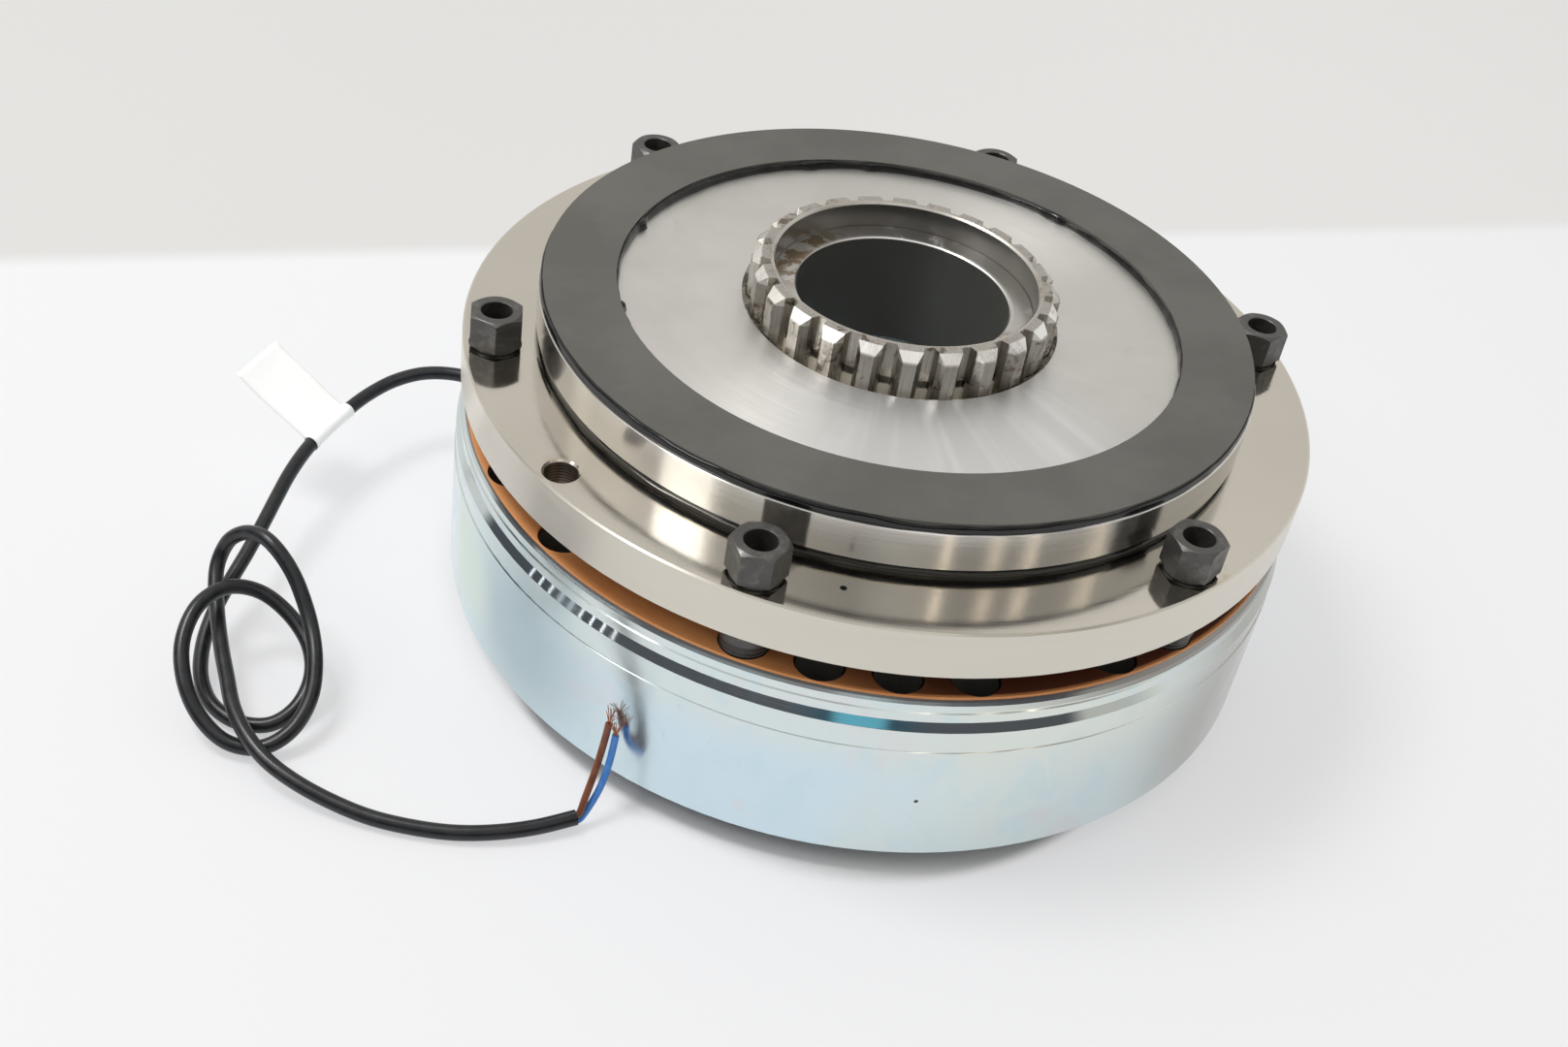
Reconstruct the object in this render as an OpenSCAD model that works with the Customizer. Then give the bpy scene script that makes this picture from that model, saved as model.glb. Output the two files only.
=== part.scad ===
// Spring applied brake: magnet with coil, armature plate, lined rotor on a toothed hub, supply cable.
// Millimetres. z = 0 is the face it stands on, +Z runs up the axis to the hub, screw one is on +X.

/* [Magnet body] */
// Outer diameter of the magnet body
body_d = 302; // [272:1:340]
// Height of the body above its rear step
body_h = 66.4; // [64:0.2:72]
// How far the edge of the rear step is inside the screw circle
step_inset = 10; // [8:0.5:20]
// Height of the rear step
step_h = 9; // [7:0.5:12]
// Diameter of the way through the middle
body_bore_d = 114; // [110:1:120]
// Height of the plain lip at the pole face
lip_h = 4.9; // [3:0.1:6]
// Height of the rim between the lip and the dust-ring groove
rim_h = 3.3; // [2:0.1:5]
// Height of the dust-ring groove
groove_h = 3.2; // [2:0.1:5]
// Depth of the dust-ring groove under the rim, where its tapered wall ends
groove_depth = 0.6; // [0.3:0.1:1.6]
// Height of the plain band between the groove and the skirt
band_h = 8.6; // [6:0.1:10]
// Width of the sloping edge round the pole face
edge_w = 1.2; // [0.4:0.1:2]
// Height of the sloping edge round the pole face
edge_h = 1.6; // [0.4:0.1:3]
// Chamfer on the turned edges of the body
body_chamfer = 0.8; // [0.3:0.1:1.5]

/* [Coil] */
// Iron from the screw circle in to the coil slot
outer_pole = 17; // [14:0.5:20]
// Width of the coil slot
slot_w = 24; // [20:1:26]
// Depth of the coil slot below the pole face
slot_depth = 48; // [44:1:50]
// Height of the potting above the coil
potting_h = 12; // [6:1:16]
// Wall of the bobbin
bobbin_wall = 1.8; // [1.2:0.1:2.5]

/* [Damping disc] */
// Thickness of the fibre disc
disc_t = 1; // [0.6:0.1:2]
// Diameter of its opening
disc_bore_d = 120; // [114:1:130]
// Diameter of the punched holes on the screw circle
disc_hole_d = 16.6; // [16.2:0.1:18]
// Diameter of the spare spring pockets
pocket_d = 15; // [12:0.5:15]
// Depth of the spare spring pockets
pocket_depth = 30; // [10:1:34]

/* [Pressure springs] */
// Number of springs in the inner pole
spring_count = 6; // [4:1:8]
// Outer diameter of a spring
spring_d = 15; // [12:0.5:16]
// Wire of a spring
wire_d = 3; // [2:0.2:3.4]
// Turns of a spring
spring_turns = 6; // [5:1:7]
// Depth of the spring pockets below the pole face
spring_pocket_depth = 30; // [24:1:34]

/* [Hollow screws] */
// Distance from the body edge to the screw circle
screw_edge = 12; // [11.8:0.1:14]
// Width across the flats of the hex
hex_af = 17; // [17:0.5:18]
// Height of the hex
hex_h = 11.6; // [8:0.2:14]
// Length of neck seen between the armature plate and the hex
neck_rise = 1.4; // [0.5:0.1:4]
// Diameter of the round neck
neck_d = 16.8; // [16:0.2:16.8]
// Length of thread seen between disc and neck
bare_thread = 4.6; // [2:0.2:7]
// Diameter over the thread
thread_d = 15.8; // [14:0.2:15.8]
// Length of thread in the body
thread_len = 26; // [18:1:34]
// Diameter of the bore for the fixing bolt
screw_bore_d = 10.5; // [8.5:0.5:11]

/* [Armature plate] */
// How far its edge is inside the body edge
armature_inset = 1.2; // [0:0.1:3]
// Thickness of the plate
armature_t = 17.9; // [14:0.1:22]
// Diameter of its opening
armature_bore_d = 124; // [118:1:130]
// Gap to the damping disc with the springs at their free length
armature_gap = 9.6; // [8:0.1:12]
// Diameter of the clearance holes for the screws
armature_hole_d = 17.8; // [17.4:0.2:22]
// Diameter of the tapped holes for a release
release_hole_d = 11; // [8:0.5:12]
// Distance from the body edge to the release holes
release_edge = 9; // [8.4:0.2:14]

/* [Rotor] */
// Gap between the rotor disc and the corners of the screw heads
rotor_gap = 4; // [2:0.2:8]
// Thickness of the rotor disc
rotor_t = 14.1; // [10:0.1:18]
// How far the lead-in cone of the rotor's teeth reaches past their roots
lead_in = 1.5; // [0.5:0.1:2.5]
// Thickness of a lining
lining_t = 3.4; // [2:0.1:5]
// How far a lining is inside the disc edge
lining_inset = 1.2; // [1.2:0.1:4]
// Width of a lining from its outer to its inner edge
lining_w = 25; // [16:0.5:30]
// Width of the adhesive bead along the lining edges
glue_w = 0.6; // [0.3:0.1:0.6]

/* [Hub] */
// Diameter over the teeth
hub_d = 107.7; // [106:0.1:110]
// Diameter at the tooth roots
root_d = 95.6; // [94:0.1:98]
// Number of teeth
tooth_count = 24; // [20:1:26]
// Width of a tooth at its tip
tooth_tip_w = 4.4; // [3:0.1:5]
// Width of a tooth half way up its flank
tooth_mid_w = 8; // [6:0.1:8.4]
// Width of a tooth at its root
tooth_root_w = 9.2; // [8.4:0.1:10]
// Length of the hub
hub_len = 52; // [48:1:54]
// Height of the hub above the rotor disc
hub_stand = 14.9; // [12:0.1:18]
// Chamfer on the tooth ends
tooth_chamfer = 3.2; // [2:0.1:5]
// Diameter of the bore for the shaft
hub_bore_d = 75; // [60:1:80]
// Diameter of the recess round the bore
recess_d = 91.8; // [86:0.2:92.2]
// Depth of the recess
recess_depth = 9.4; // [5:0.1:12]
// Section of the O-ring
o_ring_d = 3; // [2:0.2:4]

/* [Cable] */
// Diameter of the cable sheath
cable_d = 5.2; // [4:0.1:5.6]
// Diameter of a core
core_d = 2.4; // [1.8:0.1:2.4]
// Diameter of one copper strand
strand_d = 0.5; // [0.3:0.1:0.6]
// Length of the bared strands
strand_len = 5; // [3:0.5:6]
// Diameter of the grommet in the body
grommet_d = 11; // [9:0.5:12]
// Diameter of the grommet flange
flange_d = 16; // [14:0.5:17]
// Length of the paper flag
flag_len = 34; // [20:1:40]
// Width of the paper flag
flag_w = 24; // [16:1:26]
// Thickness of the folded paper
flag_t = 0.5; // [0.3:0.1:0.8]

/* [Hidden] */
$fn = 96;

// Extra length a cutter runs past a face
over = 1;
// Play between parts that are put together and stay together
fit_gap = 0.1;
// Play on each side of a sliding tooth
spline_gap = 0.3;
// Largest share of the disc's thickness that the lead-in cone takes
lead_share = 0.5;
// Play between the O-ring and the rotor teeth
ring_gap = 0.05;
// Gap between the lower lining and the armature plate
seat_gap = 0.1;
// Gap at each end of a spring
spring_seat = 0.05;
// Room round a spring in its pocket
spring_room = 2;
// Room round the cable inside the paper flag, which is straight where the cable bends
flag_room = 0.55;
// Six screws; the punched holes of the disc are laid out between them
screw_count = 6;
// Direction of a hex corner of each screw, as they happen to be turned
screw_turns = [28, 10, 50, 25, 44, 38];
// Punched holes from screw to screw, repeated half a turn on
pocket_angles = [15, 30, 70, 80, 90, 110];
// Tapped holes for a release
release_angles = [30, 210];
// The cable leaves the body at this angle and this far above the slot floor
cable_angle = 150;
cable_rise = 4.6;
// Turn of the hub, so that a tooth points as it does in the object
hub_turn = 3.1;

// Radii
body_r = body_d / 2;
skirt_step = 0.3;
upper_r = body_r - skirt_step;
rim_inset = 1.8;
rim_r = body_r - rim_inset;
groove_r = rim_r - groove_depth;
groove_slope = 0.3;
lip_step = 0.4;
lip_r = rim_r - lip_step;
screw_r = body_r - screw_edge;
step_r = screw_r - step_inset;
bore_r = body_bore_d / 2;
slot_out_r = screw_r - outer_pole;
slot_in_r = slot_out_r - slot_w;
// The springs stand in the middle of the inner pole
spring_r = (bore_r + slot_in_r) / 2;
disc_r = lip_r - edge_w;
arm_r = body_r - armature_inset;
release_r = body_r - release_edge;
rotor_r = screw_r - hex_af / sqrt(3) - rotor_gap;
lining_r = rotor_r - lining_inset;
lining_in_r = lining_r - lining_w;
tip_r = hub_d / 2;
root_r = root_d / 2;
lead_r = tip_r + spline_gap + lead_in;

// Heights
z_top = step_h + body_h;
z_lip = z_top - lip_h;
z_groove_top = z_lip - rim_h;
z_groove = z_groove_top - groove_h;
z_skirt = z_groove - band_h;
z_slot = z_top - slot_depth;
z_potting = z_top - potting_h;
z_disc = z_top + disc_t;
z_arm = z_disc + armature_gap;
z_arm_top = z_arm + armature_t;
z_lower = z_arm_top + seat_gap;
z_rotor = z_lower + lining_t;
z_rotor_top = z_rotor + rotor_t;
z_hub_top = z_rotor_top + hub_stand;
z_hub = z_hub_top - hub_len;
z_recess = z_hub_top - recess_depth;
lead_h = min(lead_r - root_r, rotor_t * lead_share);
z_ring = (z_rotor + z_rotor_top - lead_h) / 2;
z_spring = z_top - spring_pocket_depth;
z_hex = z_arm_top + neck_rise;
z_screw_top = z_hex + hex_h;
z_neck = z_disc + bare_thread;
z_thread = z_top - thread_len;
z_cable = z_slot + cable_rise;

// Grommet: how deep its flange sits in the body, the flange's thickness, room for cable and flange
grommet_seat = 1.5;
flange_t = 2;
cable_room = 1;
// How far the teeth run into the hub's core, as a share of the root radius
tooth_bury = 0.9;
// Round top face of a screw head, as a share of the flats, and the slope of its corners
hex_face = 0.97;
hex_slope = 30;
// Adhesive bead: height for its width, then width and height of its shoulder as shares
bead_rise = 1.4;
bead_shoulder = [0.6, 0.7];
// Spring ends: turns of each closed end, and the rise over that end for the wire
end_turns = 0.8;
end_rise = 0.85;
spring_steps = 10;
wire_sides = 6;
sheath_sides = 10;
core_sides = 8;

// Chamfers on the smaller parts
plate_chamfer = 0.6;
rotor_chamfer = 0.5;
hole_chamfer = 0.7;
screw_chamfer = 0.3;
hub_bore_chamfer = 0.5;

// Cable route for a body of this radius with the exit at this height, then fitted to the sizes above
route_r = 151;
route_z = 32;
cable_points = [
    [-109, 63, 32], [-121, 70, 32], [-133, 77, 32], [-145, 83, 32.5], [-158, 84, 32.5],
    [-170, 80, 31.5], [-180.5, 71.5, 30.5], [-189, 61.5, 29.5], [-196.5, 50.5, 29],
    [-203, 39.5, 28], [-208.5, 27.5, 26.5], [-213, 15.5, 24.5], [-217.5, 3.5, 22],
    [-222.5, -8.5, 19], [-228, -20, 15.5], [-233, -31.5, 11.5], [-236, -44, 8],
    [-236, -57, 5.5], [-232, -68.5, 4], [-223.5, -76.5, 3.5], [-213, -78.5, 4],
    [-204.5, -73, 6.5], [-200, -63, 10.5], [-201, -51.5, 14.5], [-207.5, -41.5, 19.5],
    [-217, -35.5, 24.5], [-227.5, -37, 28], [-236.5, -45.5, 27.5], [-241, -57.5, 22.5],
    [-240, -69.5, 16], [-235, -79.5, 9.5], [-226.5, -87, 5], [-215.5, -89.5, 4.5],
    [-206, -85.5, 8], [-200, -76.5, 13.5], [-198.5, -65.5, 19.5], [-200, -53.5, 25],
    [-203.5, -43.5, 32], [-207, -37.5, 37], [-211.5, -32, 41], [-216, -27, 42],
    [-221.5, -22, 39.5], [-226.5, -19.5, 35], [-229.5, -19.5, 30], [-231.5, -22.5, 25.5],
    [-232, -28, 22], [-231.5, -34.5, 19], [-230.5, -44, 17], [-229, -54.5, 15.5],
    [-227, -65.5, 14], [-224.5, -78.5, 12.5], [-220, -90, 11], [-213.5, -99.5, 9],
    [-204.5, -107.5, 7], [-193.5, -114.5, 5], [-181.5, -120.5, 3.5], [-168.5, -125, 3],
    [-155.5, -128, 3], [-142.5, -129, 3.5], [-129.5, -128, 4], [-116.5, -125, 4.5]];
cable_rings = 91;
brown_points = [[-116.5, -125, 5.75], [-115.3, -124.5, 6.2], [-113.6, -122, 10.5], [-111.2, -118.3, 15.8],
                [-109, -114.6, 21.5], [-107.5, -112.3, 27.5], [-106.6, -111.2, 33]];
blue_points = [[-116.5, -125, 3.25], [-114.9, -124.5, 3.5], [-112, -122.6, 7.2], [-108.8, -119.7, 12.2],
               [-106.4, -116.4, 17.8], [-105, -114, 23.5], [-104.3, -113, 29.3]];
core_rings = 19;
// Gap between the sheath end and the cores
core_gap = 0.1;
// Middle of the paper flag on the cable, and how the cable and the flag lie there
flag_at = [-194.5, 53, 28.8];
flag_lie = [-32, 3.3, 236];
// Fan of the bared strands
strand_fan = [[0, 0], [12, 0], [12, 72], [12, 144], [12, 216], [12, 288]];

// A point of the cable route fitted to the body
function placed(p) = [p.x * body_r / route_r, p.y * body_r / route_r, p.z * z_cable / route_z];
function at(p, i) = p[max(0, min(len(p) - 1, i))];
// Smooth curve through points p, with u counted in points
function curve(p, u) =
    let (i = min(floor(u), len(p) - 2), t = u - i,
         a = at(p, i - 1), b = at(p, i), c = at(p, i + 1), d = at(p, i + 2))
    b + t * ((c - a) + t * ((2 * a - 5 * b + 4 * c - d) + t * (3 * b - a - 3 * c + d))) / 2;
function smooth(p, n) = [for (i = [0 : n - 1]) curve(p, i * (len(p) - 1) / (n - 1))];
function unit(v) = v / norm(v);
function along(p) = [for (i = [0 : len(p) - 1]) unit(at(p, i + 1) - at(p, i - 1))];
function square_to(n, t) = unit(n - (n * t) * t);
function fixed_route(p) = [for (q = p) placed(q)];

// Round tube along points p
module tube(p, d, sides) {
    t = along(p);
    n = [for (i = 0, v = square_to([0, 0, 1], t[0]);
              i < len(t);
              i = i + 1, v = square_to(v, at(t, i))) v];
    points = [for (i = [0 : len(p) - 1]) for (k = [0 : sides - 1])
        p[i] + d / 2 * (cos(360 * k / sides) * n[i] + sin(360 * k / sides) * cross(t[i], n[i]))];
    last = (len(p) - 1) * sides;
    walls = [for (i = [0 : len(p) - 2]) for (k = [0 : sides - 1])
        let (a = i * sides + k, b = i * sides + (k + 1) % sides)
        for (f = [[a, a + sides, b], [b, a + sides, b + sides]]) f];
    ends = [[for (k = [0 : sides - 1]) k], [for (k = [0 : sides - 1]) last + sides - 1 - k]];
    polyhedron(points, concat(walls, ends));
}

// Copies of a child round the axis
module ring_of(angles, r) {
    for (a = angles)
        rotate(a) translate([r, 0, 0]) children();
}

// Flat ring
module washer(r_out, r_in, z, h) {
    translate([0, 0, z])
        difference() {
            cylinder(r = r_out, h = h);
            translate([0, 0, -over]) cylinder(r = r_in, h = h + 2 * over);
        }
}

function screw_angles() = [for (i = [0 : screw_count - 1]) i * 360 / screw_count];
function spring_angles() = [for (i = [0 : spring_count - 1]) (i + 0.5) * 360 / spring_count];
function spare_angles() = [for (s = [0, 180]) for (a = pocket_angles) s + a];

// Outline of the teeth, widened by the play
module spline_outline(play) {
    inner_r = root_r * tooth_bury;
    mid_r = (tip_r + root_r) / 2;
    slope = (tooth_root_w - tooth_mid_w) / 2 / (mid_r - root_r);
    inner_half = tooth_root_w / 2 + (root_r - inner_r) * slope + play;
    mid_half = tooth_mid_w / 2 + play;
    tip_half = tooth_tip_w / 2 + play;
    circle(r = root_r + play);
    for (i = [0 : tooth_count - 1])
        rotate(i * 360 / tooth_count)
            polygon([[inner_r, -inner_half], [mid_r, -mid_half], [tip_r + play, -tip_half],
                     [tip_r + play, tip_half], [mid_r, mid_half], [inner_r, inner_half]]);
}

module body_turned() {
    c = body_chamfer;
    rotate_extrude()
        polygon([
            [bore_r + c, 0], [step_r - c, 0], [step_r, c], [step_r, step_h],
            [body_r - c, step_h], [body_r, step_h + c], [body_r, z_skirt],
            [upper_r, z_skirt + skirt_step], [upper_r, z_groove],
            [groove_r, z_groove_top - groove_slope], [rim_r, z_groove_top], [rim_r, z_lip],
            [lip_r, z_lip + lip_step], [lip_r, z_top - edge_h], [lip_r - edge_w, z_top],
            [bore_r + c, z_top],
            [bore_r, z_top - c], [bore_r, c]]);
}

module cable_way() {
    seat_r = body_r - grommet_seat;
    translate([0, 0, z_cable]) rotate([0, 90, cable_angle]) {
        translate([0, 0, slot_out_r - over])
            cylinder(d = cable_d + cable_room, h = body_r - slot_out_r);
        translate([0, 0, seat_r - grommet_d])
            cylinder(d = grommet_d + 2 * fit_gap, h = grommet_d + over);
        translate([0, 0, seat_r])
            cylinder(d = flange_d + cable_room, h = grommet_seat + 2 * over);
    }
}

module coil_body() {
    color("LightSteelBlue")
    difference() {
        body_turned();
        washer(slot_out_r, slot_in_r, z_slot, slot_depth + over);
        ring_of(screw_angles(), screw_r) {
            translate([0, 0, z_thread - over]) cylinder(d = thread_d + fit_gap, h = thread_len + 2 * over);
            cylinder(d = screw_bore_d, h = z_top);
        }
        ring_of(spare_angles(), screw_r)
            translate([0, 0, z_top - pocket_depth]) cylinder(d = pocket_d, h = pocket_depth + over);
        ring_of(spring_angles(), spring_r)
            translate([0, 0, z_spring])
                cylinder(d = spring_d + spring_room, h = spring_pocket_depth + over);
        cable_way();
    }
}

module coil_bobbin() {
    wall = bobbin_wall;
    in_r = slot_in_r + fit_gap;
    out_r = slot_out_r - fit_gap;
    color("Ivory")
    rotate_extrude()
        polygon([
            [in_r, z_slot], [out_r, z_slot], [out_r, z_slot + wall], [in_r + wall, z_slot + wall],
            [in_r + wall, z_potting - wall], [out_r, z_potting - wall], [out_r, z_potting],
            [in_r, z_potting]]);
}

module coil_winding() {
    color("Peru")
    washer(slot_out_r - bobbin_wall, slot_in_r + bobbin_wall + 2 * fit_gap,
           z_slot + bobbin_wall, z_potting - z_slot - 2 * bobbin_wall);
}

module potting_ring() {
    color("DimGray")
    washer(slot_out_r - fit_gap, slot_in_r + fit_gap, z_potting, potting_h);
}

module damping_disc() {
    color("Sienna")
    difference() {
        washer(disc_r, disc_bore_d / 2, z_top, disc_t);
        ring_of(concat(screw_angles(), spare_angles()), screw_r)
            translate([0, 0, z_top - over]) cylinder(d = disc_hole_d, h = disc_t + 2 * over);
        ring_of(spring_angles(), spring_r)
            translate([0, 0, z_top - over]) cylinder(d = spring_d + spring_room, h = disc_t + 2 * over);
    }
}

// One spring: a closed turn at each end and open turns between
module spring() {
    steps = spring_steps;
    low = z_spring + spring_seat + wire_d / 2;
    high = z_arm - spring_seat - wire_d / 2;
    closed = end_turns / spring_turns;
    part = end_rise * wire_d / (high - low);
    function rise(u) = u < closed ? part * u / closed
        : u > 1 - closed ? 1 - part * (1 - u) / closed
        : part + (1 - 2 * part) * (u - closed) / (1 - 2 * closed);
    count = spring_turns * steps;
    r = (spring_d - wire_d) / 2;
    tube([for (i = [0 : count])
        [r * cos(360 * i / steps), r * sin(360 * i / steps), low + (high - low) * rise(i / count)]],
        wire_d, wire_sides);
}

module pressure_springs() {
    color("SlateGray")
    ring_of(spring_angles(), spring_r) spring();
}

module hollow_screw(turn) {
    corner_r = hex_af / sqrt(3);
    face_r = hex_face * hex_af / 2;
    wide_r = corner_r + over;
    chamfer_drop = (wide_r - face_r) * tan(hex_slope);
    difference() {
        union() {
            intersection() {
                translate([0, 0, z_hex]) rotate(turn) cylinder(r = corner_r, h = hex_h, $fn = 6);
                translate([0, 0, z_hex])
                    rotate_extrude()
                        polygon([[0, -over], [wide_r, -over], [wide_r, hex_h - chamfer_drop],
                                 [face_r, hex_h], [0, hex_h]]);
            }
            translate([0, 0, z_neck]) cylinder(d = neck_d, h = z_hex - z_neck);
            translate([0, 0, z_thread]) cylinder(d = thread_d, h = z_neck - z_thread);
        }
        translate([0, 0, z_thread - over])
            cylinder(d = screw_bore_d, h = z_screw_top - z_thread + 2 * over);
        translate([0, 0, z_screw_top - screw_chamfer])
            cylinder(d1 = screw_bore_d, d2 = screw_bore_d + 4 * screw_chamfer, h = 2 * screw_chamfer);
    }
}

module hollow_screws() {
    color("DarkSlateGray")
    for (i = [0 : screw_count - 1])
        rotate(screw_angles()[i]) translate([screw_r, 0, 0])
            hollow_screw(screw_turns[i] - screw_angles()[i]);
}

module armature_plate() {
    c = plate_chamfer;
    hole_r = armature_bore_d / 2;
    sink = hole_chamfer;
    color("Silver")
    difference() {
        rotate_extrude()
            polygon([[hole_r + c, z_arm], [arm_r - c, z_arm], [arm_r, z_arm + c], [arm_r, z_arm_top - c],
                     [arm_r - c, z_arm_top], [hole_r + c, z_arm_top], [hole_r, z_arm_top - c],
                     [hole_r, z_arm + c]]);
        ring_of(screw_angles(), screw_r)
            translate([0, 0, z_arm - over]) cylinder(d = armature_hole_d, h = armature_t + 2 * over);
        ring_of(release_angles, release_r) {
            translate([0, 0, z_arm - over]) cylinder(d = release_hole_d, h = armature_t + 2 * over);
            translate([0, 0, z_arm_top - sink])
                cylinder(d1 = release_hole_d, d2 = release_hole_d + 4 * sink, h = 2 * sink);
        }
    }
}

module rotor_disc() {
    c = rotor_chamfer;
    flare = (lead_r - root_r) / lead_h;
    color("Gainsboro")
    difference() {
        rotate_extrude()
            polygon([[0, z_rotor], [rotor_r - c, z_rotor], [rotor_r, z_rotor + c],
                     [rotor_r, z_rotor_top - c], [rotor_r - c, z_rotor_top], [0, z_rotor_top]]);
        translate([0, 0, z_rotor - over]) rotate(hub_turn)
            linear_extrude(rotor_t + 2 * over) spline_outline(spline_gap);
        translate([0, 0, z_rotor_top - lead_h])
            cylinder(h = lead_h + over, r1 = root_r, r2 = lead_r + over * flare);
    }
}

module upper_lining() {
    color("Gray")
    washer(lining_r, lining_in_r, z_rotor_top, lining_t);
}

module lower_lining() {
    color("Gray")
    washer(lining_r, lining_in_r, z_lower, lining_t);
}

// Bead in the corner between a lining edge and the disc, at its outer and inner edge
module glue_line(z, up) {
    w = glue_w;
    h = up * w * bead_rise;
    shoulder_w = w * bead_shoulder[0];
    z_shoulder = z + h * bead_shoulder[1];
    r_out = lining_r + fit_gap;
    r_in = lining_in_r - fit_gap;
    rotate_extrude()
        polygon([[r_out, z], [r_out + w, z], [r_out + shoulder_w, z_shoulder], [r_out, z + h]]);
    rotate_extrude()
        polygon([[r_in, z], [r_in - w, z], [r_in - shoulder_w, z_shoulder], [r_in, z + h]]);
}

module upper_glue_line() {
    color("Black")
    glue_line(z_rotor_top, 1);
}

module lower_glue_line() {
    color("Black")
    glue_line(z_rotor, -1);
}

module spline_hub() {
    c = tooth_chamfer;
    b = hub_bore_chamfer;
    e = hole_chamfer;
    hub_r = hub_bore_d / 2;
    recess_r = recess_d / 2;
    floor_r = root_r + spline_gap - ring_gap - o_ring_d - fit_gap;
    half = o_ring_d / 2 + fit_gap;
    color("DarkGray")
    intersection() {
        translate([0, 0, z_hub - over]) rotate(hub_turn)
            linear_extrude(hub_len + 2 * over) spline_outline(0);
        rotate_extrude()
            polygon([
                [hub_r + e, z_hub], [tip_r - c, z_hub], [tip_r, z_hub + c],
                [tip_r, z_ring - half], [floor_r, z_ring - half], [floor_r, z_ring + half],
                [tip_r, z_ring + half], [tip_r, z_hub_top - c], [tip_r - c, z_hub_top],
                [recess_r + e, z_hub_top], [recess_r, z_hub_top - e], [recess_r, z_recess],
                [hub_r + b, z_recess], [hub_r, z_recess - b], [hub_r, z_hub + e]]);
    }
}

module hub_o_ring() {
    color("Black")
    translate([0, 0, z_ring])
        rotate_extrude()
            translate([root_r + spline_gap - ring_gap - o_ring_d / 2, 0]) circle(d = o_ring_d);
}

module cable_grommet() {
    seat_r = body_r - grommet_seat;
    plug = grommet_d - over;
    color("Black")
    translate([0, 0, z_cable]) rotate([0, 90, cable_angle])
        difference() {
            union() {
                translate([0, 0, seat_r - plug]) cylinder(d = grommet_d, h = plug);
                translate([0, 0, seat_r]) cylinder(d = flange_d, h = flange_t);
            }
            translate([0, 0, seat_r - plug - over])
                cylinder(d = cable_d + 4 * fit_gap, h = plug + flange_t + 2 * over);
        }
}

module cable() {
    color("Black")
    tube(smooth(fixed_route(cable_points), cable_rings), cable_d, sheath_sides);
}

module cable_label() {
    in_r = cable_d / 2 + flag_room;
    out_r = in_r + flag_t;
    color("White")
    translate(placed(flag_at)) rotate(flag_lie)
        difference() {
            union() {
                translate([-flag_w / 2, 0, 0]) rotate([0, 90, 0]) cylinder(r = out_r, h = flag_w);
                translate([-flag_w / 2, -in_r - flag_len, -flag_t / 2]) cube([flag_w, flag_len, flag_t]);
            }
            translate([-flag_w / 2 - over, 0, 0])
                rotate([0, 90, 0]) cylinder(r = in_r, h = flag_w + 2 * over);
        }
}

// Core along a route that begins just outside the sheath
module core(route) {
    p = fixed_route(route);
    gap = core_gap * unit(p[1] - p[0]);
    tube([for (q = smooth(p, core_rings)) q + gap], core_d, core_sides);
}

// Bared strands fanned out from the end of a core
module strands(route) {
    p = smooth(fixed_route(route), core_rings);
    gap = core_gap * unit(placed(route[1]) - placed(route[0]));
    tip = at(p, core_rings) + gap;
    d = unit(tip - gap - p[core_rings - 2]);
    translate(tip) rotate([0, acos(d.z), atan2(d.y, d.x)])
        for (s = strand_fan)
            rotate(s[1]) rotate([0, s[0], 0]) cylinder(d = strand_d, h = strand_len);
}

module brown_core() {
    color("SaddleBrown")
    core(brown_points);
}

module blue_core() {
    color("RoyalBlue")
    core(blue_points);
}

module brown_strands() {
    color("Chocolate")
    strands(brown_points);
}

module blue_strands() {
    color("Chocolate")
    strands(blue_points);
}

coil_body();
coil_bobbin();
coil_winding();
potting_ring();
damping_disc();
pressure_springs();
hollow_screws();
armature_plate();
rotor_disc();
upper_lining();
lower_lining();
upper_glue_line();
lower_glue_line();
spline_hub();
hub_o_ring();
cable_grommet();
cable();
cable_label();
brown_core();
blue_core();
brown_strands();
blue_strands();
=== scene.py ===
import math
import random

import bpy
import numpy as np
from mathutils import Euler, Matrix, Vector, noise


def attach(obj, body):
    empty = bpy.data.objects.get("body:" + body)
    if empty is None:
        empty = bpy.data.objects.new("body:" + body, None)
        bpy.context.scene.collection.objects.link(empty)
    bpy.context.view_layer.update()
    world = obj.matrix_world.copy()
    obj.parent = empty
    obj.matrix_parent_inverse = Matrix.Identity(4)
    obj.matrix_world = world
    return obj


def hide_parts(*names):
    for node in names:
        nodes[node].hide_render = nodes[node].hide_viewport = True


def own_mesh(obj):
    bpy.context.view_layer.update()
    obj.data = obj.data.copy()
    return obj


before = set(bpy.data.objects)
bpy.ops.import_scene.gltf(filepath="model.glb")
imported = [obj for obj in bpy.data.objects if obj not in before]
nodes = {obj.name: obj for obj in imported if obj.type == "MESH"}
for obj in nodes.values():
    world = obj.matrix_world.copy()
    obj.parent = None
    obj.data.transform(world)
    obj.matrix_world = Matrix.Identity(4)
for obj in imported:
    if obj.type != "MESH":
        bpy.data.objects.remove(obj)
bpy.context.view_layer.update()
scene = bpy.context.scene
MM = 0.001


def turn_of(*degrees):
    return Euler([math.radians(a) for a in degrees], "XYZ")


# Camera at the photograph's viewing angle
camera_data = bpy.data.cameras.new("camera")
camera_data.sensor_fit = "HORIZONTAL"
camera_data.sensor_width = 36.0
camera_data.lens = 43.10
camera = bpy.data.objects.new("camera", camera_data)
camera.location = (-0.18645, -0.53320, 0.46153)
camera.rotation_euler = turn_of(51.390, -7.952, -10.273)
scene.collection.objects.link(camera)
scene.camera = camera
scene.view_settings.view_transform = "Standard"

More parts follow.
